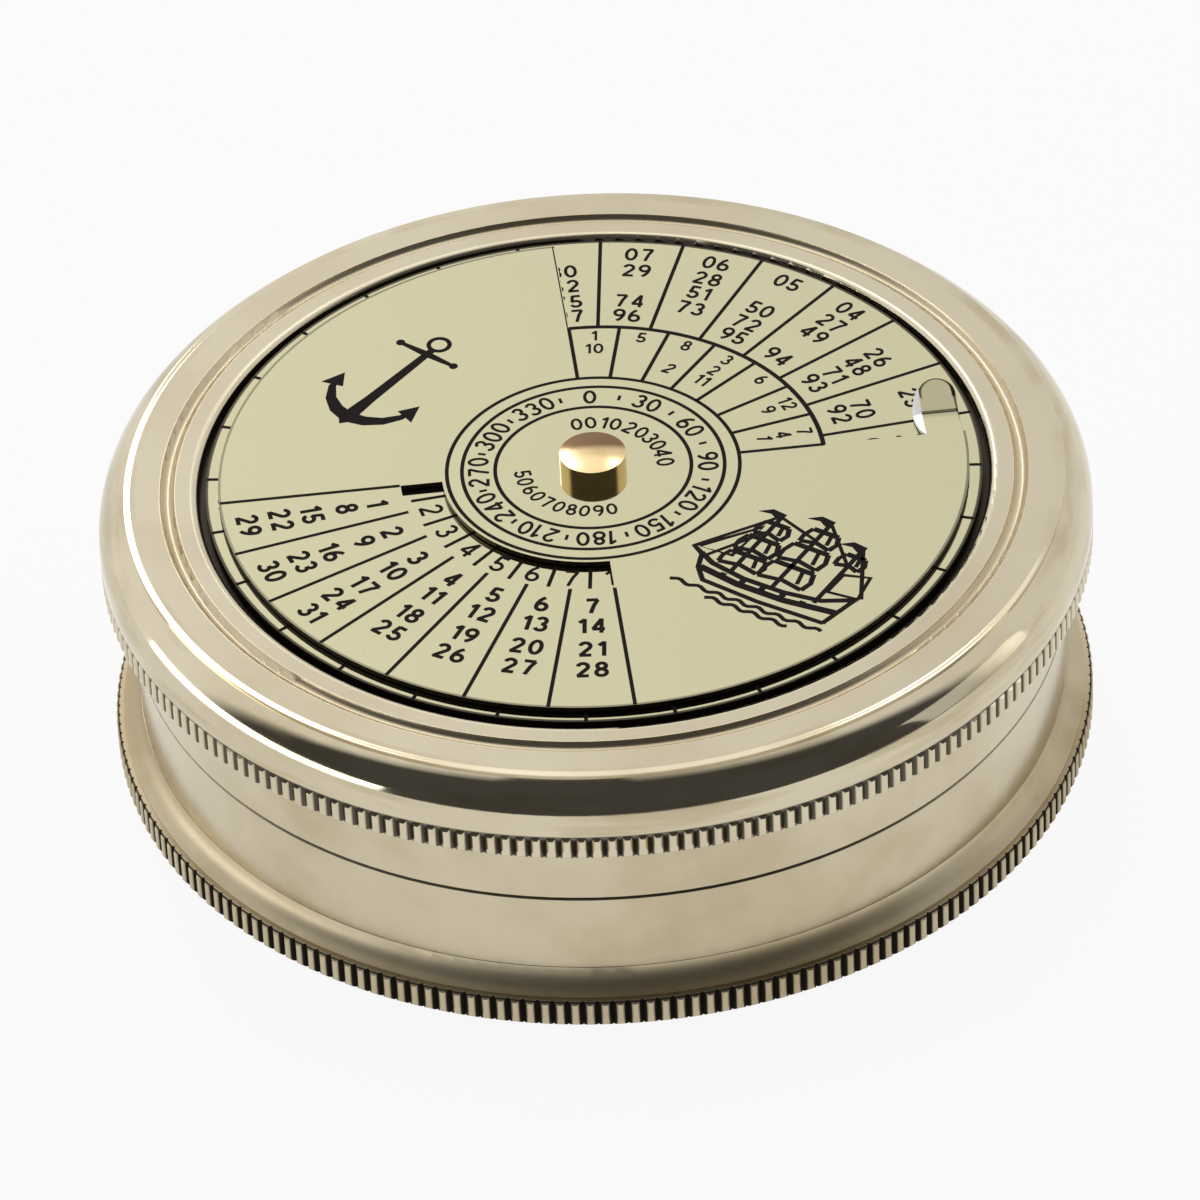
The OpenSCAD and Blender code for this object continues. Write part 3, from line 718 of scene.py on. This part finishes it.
class COMPASS_OT_calendar_print(bpy.types.Operator):
    """Print the months, the dates and the middle rings on the calendar disc"""

    bl_idname = "compass.calendar_print"
    bl_label = "Calendar print"

    month_rows = (16.6 * MM, 14.95 * MM, 13.45 * MM)
    date_rows = (16.86 * MM, 19.2 * MM, 21.9 * MM, 24.3 * MM, 26.8 * MM)
    # From the column at the right of the year window round to the left: month, row and slant
    months = (((7, 0, 0), (4, 1, 0), (1, 2, 1)), ((12, 0, 0), (9, 1, 0)), ((6, 0, 0),),
              ((3, 0, 0), (2, 1, 0), (11, 2, 0)), ((8, 0, 0), (2, 2, 1)), ((5, 0, 0),),
              ((1, 0, 0), (10, 1, 0)))
    # The two rows of decades: first number, first angle, step, radius, height, and turn of a figure
    decade_rows = ((0, 96.0, -22.0, 5.5 * MM, 1.4 * MM, -90.0),
                   (50, 190.0, 22.0, 5.4 * MM, 1.3 * MM, 90.0))

    def execute(self, context):
        dials = context.scene.compass_dials
        turn = math.degrees(dials.disc_turn)
        opposite = turn + 180.0
        page = Print()
        for radius in (dials.hub_r, dials.words_r, dials.rim_r):
            page.arc(radius, dials.line)
        page.arc(dials.month_r - dials.line / 2 - 0.02 * MM, dials.line * 1.25, turn, turn + SECTOR)
        page.spoke(turn + SECTOR + 0.3, dials.month_r, DISC_R - EDGE, dials.line * 0.35)
        for step in range(WEEKDAYS + 1):
            page.spoke(turn + COLUMN * step, dials.rim_r, dials.month_r - EDGE, dials.line)
            page.spoke(opposite + COLUMN * step, dials.date_in_r, DISC_R - EDGE, dials.line)
        for step, column in enumerate(self.months):
            middle = turn + COLUMN * (step + 0.5)
            for month, row, slant in column:
                page.words(str(month), polar(self.month_rows[row], middle), dials.month_digit,
                           middle - 90.0, slant * 0.25, 0.17)
        for date in range(1, 32):
            row, column = divmod(date - 1, WEEKDAYS)
            middle = opposite + COLUMN * (column + 0.5)
            page.words(str(date), polar(self.date_rows[row], middle), dials.date_digit,
                       middle + 90.0, weight=0.2)
        self.degrees(page, dials)
        self.decades(page)
        finish = context.scene.compass_finish
        page.make("calendar_print", DISC_TOP, dials.ink, ink_material(finish), DIAL)
        return {"FINISHED"}

    def degrees(self, page, dials):
        """The ring of degrees between the inner and the middle circle."""
        middle, half = (dials.hub_r + dials.words_r) / 2, 0.3 * MM
        for degrees in range(0, 360, 30):
            page.words(str(degrees), polar(middle, 90.0 - degrees), dials.ring_digit, -degrees, weight=0.16)
            page.spoke(75.0 - degrees, middle - half, middle + half, dials.line * 0.8)

    def decades(self, page):
        """Plain decade numbers inside the inner circle."""
        for place in range(5):
            for first, start, step, radius, height, up in self.decade_rows:
                turn = start + step * place
                page.words(f"{first + 10 * place:02d}", polar(radius, turn), height, turn + up, weight=0.16)


class COMPASS_OT_pictures(bpy.types.Operator):
    """Print an anchor and a sailing ship on the calendar disc"""

    bl_idname = "compass.pictures"
    bl_label = "Pictures"

    # Place and turn of each picture, and the scale of the second
    anchor_at = (-15.0 * MM, 12.3 * MM), -40.0
    ship_at = (14.5 * MM, -13.1 * MM), -34.0
    ship_scale = 1.15
    # Each sail's mast, head, foot and half width
    sails = ((-2.9, 3.1, 1.7, 0.85), (-2.9, 1.3, -0.3, 1.15), (-2.9, -0.6, -2.0, 1.3),
             (0.3, 3.9, 2.4, 0.95), (0.3, 2.0, 0.2, 1.3), (0.3, -0.2, -2.0, 1.5),
             (3.3, 2.7, 1.4, 0.7))

    def execute(self, context):
        dials = context.scene.compass_dials
        page = Print()
        page.picture(*self.anchor_at, *self.anchor())
        page.picture(*self.ship_at, *self.ship(), self.ship_scale)
        ink = ink_material(context.scene.compass_finish)
        page.make("dial_pictures", DISC_TOP, dials.ink, ink, DIAL)
        return {"FINISHED"}

    def anchor(self):
        """An anchor with its crown at the bottom: its lines, each a width and its points, and its fills."""
        arms = ((-3.75, -2.3), (-3.45, -3.5), (-2.6, -4.7), (-1.4, -5.5), (0, -5.85))
        arms += tuple((-x, y) for x, y in reversed(arms[:-1]))
        lines = [(0.36, bow(0, 5.4, 0.82, 0.82, 0, 360)),
                 ((0.34, 0.5, 0.66, 0.5, 0.34), ((-2.6, 3.9), (-1.3, 3.9), (0, 3.9), (1.3, 3.9), (2.6, 3.9))),
                 ((0.6, 0.72, 0.9, 1.25), ((0, 4.7), (0, 2), (0, -3), (0, -5.6))),
                 ((0.2, 0.6, 0.85, 1.1, 1.25, 1.1, 0.85, 0.6, 0.2), arms)]
        fills = [((-0.65, -6.1), (0, -6.85), (0.65, -6.1))]
        for side in (-1, 1):
            fills.append([(side * x, y) for x, y in ((2.75, -3.05), (4.5, -3.55), (3.75, -1.6))])
            fills.append(bow(side * 2.65, 3.9, 0.36, 0.36, 0, 345))
        return lines, fills

    def ship(self):
        """A three-masted ship under sail with its bow to the left, drawn as the anchor is."""
        lines = [(0.42, ((-5.8, -1.8), (-4.6, -2.4), (-2, -2.8), (1, -2.75), (3.6, -2.3), (5.6, -1.1))),
                 (0.36, ((-5.7, -1.9), (-5.2, -3.2), (-4.2, -4.25))),
                 (0.36, ((-4.3, -4.2), (0, -4.4), (4.9, -4.2))),
                 (0.36, ((5.5, -1.1), (4.85, -4.25))),
                 (0.55, ((-5.1, -3.1), (-2, -3.5), (1.5, -3.45), (5.1, -2.9))),
                 ((0.45, 0.3), ((-5.3, -2.1), (-6.7, -1.35))),
                 (0.26, ((-6.6, -1.4), (-3.1, 4.1))),
                 (0.26, ((-5.4, -1.9), (-3.1, 2.2))),
                 (0.26, ((-3.1, 3.9), (0.1, 2.9))),
                 (0.26, ((0.1, 4.9), (3.3, 1.6))),
                 (0.3, ((3.3, 3.6), (5.8, -0.9))),
                 (0.34, ((-6.3, -1.3), (-3.6, 2.5), (-3.9, -1.1), (-6.3, -1.3))),
                 (0.34, ((3.5, 0.7), (5.2, 1.3), (5.6, -1.0), (3.5, -1.3), (3.5, 0.7)))]
        fills = []
        for mast, top in ((-3.1, 4.3), (0.1, 5.2), (3.3, 3.9)):
            lines.append((0.34, ((mast, -2.7), (mast, top))))
            fills.append(((mast, top), (mast, top - 0.85), (mast - 0.8, top - 0.4), (mast - 1.7, top - 0.55),
                          (mast - 0.9, top + 0.1)))
        for mast, head, foot, wide in self.sails:
            middle, left, right = (head + foot) / 2, mast - wide, mast + wide
            lines.append((0.45, ((left, head), (right, head))))
            lines.append((0.38, ((right, head), (right + 0.3, middle), (right + 0.1, foot))))
            lines.append((0.34, ((left, head), (left - 0.25, middle), (left - 0.2, foot))))
            lines.append((0.38, ((left - 0.2, foot), (mast, foot + 0.3), (right + 0.1, foot))))
            lines.append((0.3, ((mast + 0.5 * wide, head - 0.1), (mast + 0.7 * wide, foot + 0.4))))
        for port in range(6):
            middle = 1.5 * port - 3.6
            fills.append(((middle, -3.25), (middle + 0.45, -3.25), (middle + 0.45, -2.9), (middle, -2.9)))
        for start, end, base in ((-6.2, 5.2, -5.0), (-3.2, 3.0, -5.6)):
            steps = round((end - start) / 0.25)
            crest = [start + (end - start) * i / steps for i in range(steps + 1)]
            lines.append((0.3, [(x, base + 0.14 * math.sin(4.2 * x)) for x in crest]))
        return lines, fills


class COMPASS_OT_card_print(bpy.types.Operator):
    """Print the degrees and the star on the compass card"""

    bl_idname = "compass.card_print"
    bl_label = "Card print"

    margin = 1.4 * MM
    ring_width = 8.0 * MM
    # Length and width of a tick, at every tenth degree and at the others
    long_tick, short_tick = (2.6 * MM, 0.26 * MM), (1.3 * MM, 0.16 * MM)
    figure_in, figure_height = 5.2 * MM, 2.6 * MM
    # Reach in millimetres and turn of the star's short points and of its long ones
    star = ((12.5, 45.0), (18.5, 0.0))

    def execute(self, context):
        dials = context.scene.compass_dials
        page = Print()
        outer = CARD_R - self.margin
        page.arc(outer, 0.3 * MM)
        page.arc(outer - self.ring_width, 0.2 * MM)
        for degrees in range(0, 360, 2):
            length, width = self.short_tick if degrees % 10 else self.long_tick
            page.spoke(90.0 - degrees, outer - length, outer, width)
        for degrees in range(0, 360, 30):
            place = polar(outer - self.figure_in, 90.0 - degrees)
            page.words(str(degrees), place, self.figure_height, -degrees)
        for reach, turn in self.star:
            for quarter in range(4):
                self.point(page, reach, 0.16 * reach, turn + 90.0 * quarter)
        ink = ink_material(context.scene.compass_finish)
        page.make("card_print", CARD_TOP, dials.ink, ink, BASE)
        return {"FINISHED"}

    def point(self, page, reach, half, degrees):
        """One point of the star, with one side filled and the other in outline."""
        outline = (0.22, ((0.0, reach), (-half, half), (0.0, 0.0)))
        page.picture((0, 0), degrees, [outline], [((0.0, 0.0), (half, half), (0.0, reach))])


class COMPASS_OT_stage(bpy.types.Operator):
    """Set the floor, the light and the camera"""

    bl_idname = "compass.stage"
    bl_label = "Stage"

    sensor = 36.0
    floor_reach = 4.0
    # Where the room's bright back fades in, how bright it is on either side, and half the way between them
    back_fade = -0.12, 0.14
    left_side, right_side, middle = 1.06, 0.90, 0.09
    # Name, place, aim, width, height and brightness
    softboxes = (("overhead", (0.05, 0.75, 1.05), (0, 0, 0), 1.0, 0.5, 0.4),
                 ("left", (-0.97, -0.20, 0.14), (0, 0, 0.02), 1.2, 0.24, 3.0),
                 ("right", (0.95, -0.10, 0.28), (0, 0, 0), 0.55, 0.5, 0.6),
                 ("crest_left", (-0.234, 0.873, 0.80), (-0.03, 0, 0.02), 0.18, 0.42, 4.0),
                 ("crest_right", (0.159, 0.784, 0.892), (0.02, -0.03, 0.02), 0.06, 0.12, 5.0))

    def execute(self, context):
        stage = context.scene.compass_stage
        self.floor(stage)
        self.world(context, stage)
        for softbox in self.softboxes:
            self.lamp(*softbox)
        self.camera(context, stage)
        context.scene.view_settings.view_transform = "Standard"
        return {"FINISHED"}

    def floor(self, stage):
        """A pale table top that the eye sees as nearly white, with the case's shadow on it."""
        mesh = bpy.data.meshes.new("table_top")
        reach = self.floor_reach
        mesh.from_pydata([(-reach, -reach, 0), (reach, -reach, 0), (reach, reach, 0), (-reach, reach, 0)],
                         [], [(0, 1, 2, 3)])
        table = bpy.data.objects.new("table_top", mesh)
        bpy.context.scene.collection.objects.link(table)
        material, r = new_material("table_white")
        tone = (*stage.floor_colour, 1.0)
        lit = r.add("ShaderNodeBsdfDiffuse", {}, Color=tone)
        white = r.add("ShaderNodeEmission", {}, Color=(1.0, 1.0, 1.0, 1.0), Strength=1.0)
        finish_surface(r, r.add("ShaderNodeMixShader", {}, self.seen(r) * stage.floor_white, lit, white))
        mesh.materials.append(material)

    def seen(self, r):
        """1 where the eye looks, also through glass or in a mirror, and 0 for the light on things."""
        rays = [r.add("ShaderNodeLightPath", {}, out=ray)
                for ray in ("Is Camera Ray", "Is Glossy Ray", "Is Transmission Ray")]
        return (rays[0] + rays[1] + rays[2]).at_most(1.0)

    def world(self, context, stage):
        """A bright room at the back and overhead, and a dim one behind the camera."""
        world = bpy.data.worlds.new("studio")
        context.scene.world = world
        world.use_nodes = True
        r = Recipe(world.node_tree)
        x, y = r.parts(r.add("ShaderNodeTexCoord", {}, out="Generated"))[:2]
        sides = self.left_side - (self.left_side - self.right_side) * r.band(x, -self.middle, self.middle)
        back = r.band(y, *self.back_fade) * sides
        level = stage.front_light + back * (1.0 - stage.front_light)
        seen = r.add("ShaderNodeLightPath", {}, out="Is Camera Ray")
        level = level + seen * (1.0 - level)
        light = r.add("ShaderNodeBackground", {}, (1.0, 1.0, 1.0, 1.0), level)
        r.add("ShaderNodeOutputWorld", {}, Surface=light)

    def lamp(self, name, place, aim, width, height, glow):
        """A softbox of a given brightness, in the world's own units."""
        data = bpy.data.lights.new(name, "AREA")
        data.shape = "RECTANGLE"
        data.size, data.size_y = width, height
        data.energy = glow * math.pi * width * height
        lamp = bpy.data.objects.new(name, data)
        lamp.location = place
        away = Vector(aim) - Vector(place)
        lamp.rotation_mode = "QUATERNION"
        lamp.rotation_quaternion = away.to_track_quat("-Z", "Y")
        bpy.context.scene.collection.objects.link(lamp)

    def camera(self, context, stage):
        """A view down on the dial from the front, with the case at its share of the picture's width."""
        data = bpy.data.cameras.new("camera")
        data.sensor_width = self.sensor
        camera = bpy.data.objects.new("camera", data)
        context.scene.collection.objects.link(camera)
        context.scene.camera = camera
        ahead = Vector((0, -math.cos(stage.elevation), math.sin(stage.elevation)))
        camera.location = Vector((0, 0, DISC_TOP)) + ahead * stage.distance
        look = Vector((0, 0, stage.aim_z)) - camera.location
        camera.rotation_mode = "QUATERNION"
        camera.rotation_quaternion = look.to_track_quat("-Z", "Y") @ Quaternion((0, 0, 1), stage.roll)
        data.lens = self.sensor * look.length * stage.fill / (2 * CASE_R)
        data.clip_start = 0.01


class COMPASS_PT_panel(bpy.types.Panel):
    """Lists the steps that dress the compass"""

    bl_idname = "COMPASS_PT_panel"
    bl_label = "Calendar Compass"
    bl_space_type = "VIEW_3D"
    bl_region_type = "UI"
    bl_category = "Compass"

    def draw(self, context):
        for step in STEPS:
            self.layout.operator(step.bl_idname)
        for group in (getattr(context.scene, name) for name in GROUPS):
            box = self.layout.box()
            for name in group.bl_rna.properties.keys():
                if name not in ("rna_type", "name"):
                    box.prop(group, name)


STEPS = (COMPASS_OT_stage, COMPASS_OT_case, COMPASS_OT_plates, COMPASS_OT_small_parts,
         COMPASS_OT_year_print, COMPASS_OT_calendar_print, COMPASS_OT_pictures, COMPASS_OT_card_print)
GROUPS = {"compass_dials": CompassDials, "compass_finish": CompassFinish, "compass_stage": CompassStage}


def register():
    for cls in (*GROUPS.values(), *STEPS, COMPASS_PT_panel):
        bpy.utils.register_class(cls)
    for name, group in GROUPS.items():
        setattr(bpy.types.Scene, name, PointerProperty(type=group))


def unregister():
    for name in GROUPS:
        delattr(bpy.types.Scene, name)
    for cls in reversed((*GROUPS.values(), *STEPS, COMPASS_PT_panel)):
        bpy.utils.unregister_class(cls)


def main():
    register()
    for step in STEPS:
        family, name = step.bl_idname.split(".")
        getattr(getattr(bpy.ops, family), name)()


if __name__ == "__main__":
    main()
